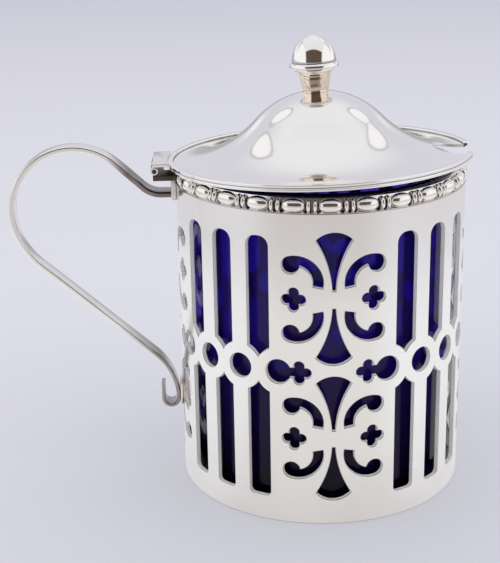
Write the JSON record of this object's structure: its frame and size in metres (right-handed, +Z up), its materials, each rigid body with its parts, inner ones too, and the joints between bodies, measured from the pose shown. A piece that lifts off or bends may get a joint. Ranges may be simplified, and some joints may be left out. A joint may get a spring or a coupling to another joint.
{
  "type": "mustard pot",
  "caption": "Pierced metal drum mustard pot with a loose blue glass liner, a hinged domed lid with an acorn finial and spoon notch, and a flat scroll handle.",
  "frame": {"origin": "centre of the base plate's underside, on the drum's axis, where the pot stands", "axes": "+Z up along the drum's axis, -X towards the hinge and the handle, +X towards the spoon notch, -Y towards the front of the picture"},
  "size_m": [0.0911, 0.0596, 0.0893],
  "materials": {
    "silver": "polished silver with fine handling scratches",
    "silver_moulding": "polished silver with dark tarnish left in the hollows",
    "silver_worn": "silver with warm tarnish and solder marks",
    "blue_glass": "smooth deep cobalt glass"
  },
  "bodies": {
    "pot": {"drum_wall": "silver", "base_plate": "silver", "rim_moulding": "silver_moulding", "handle": "silver", "handle_upper_pad": "silver_worn", "handle_lower_pad": "silver_worn", "hinge_body_leaf": "silver_worn", "hinge_body_knuckles": "silver_worn", "hinge_pin": "silver_worn"},
    "lid": {"lid_dome": "silver", "lid_wire": "silver", "finial_stem": "silver_worn", "finial_acorn": "silver", "hinge_lid_leaf": "silver_worn", "hinge_lid_knuckles": "silver_worn"},
    "liner": {"glass_liner": "blue_glass"}
  },
  "joints": [
    {"name": "lid_hinge", "type": "hinge", "parent": "pot", "child": "lid", "pos_m": [-0.0324, 0, 0.0646], "axis": [0, -1, 0], "range_deg": [0, 100]},
    {"name": "liner_turn", "type": "hinge", "parent": "pot", "child": "liner", "pos_m": [0, 0, 0.001], "axis": [0, 0, 1], "continuous": true}
  ]
}
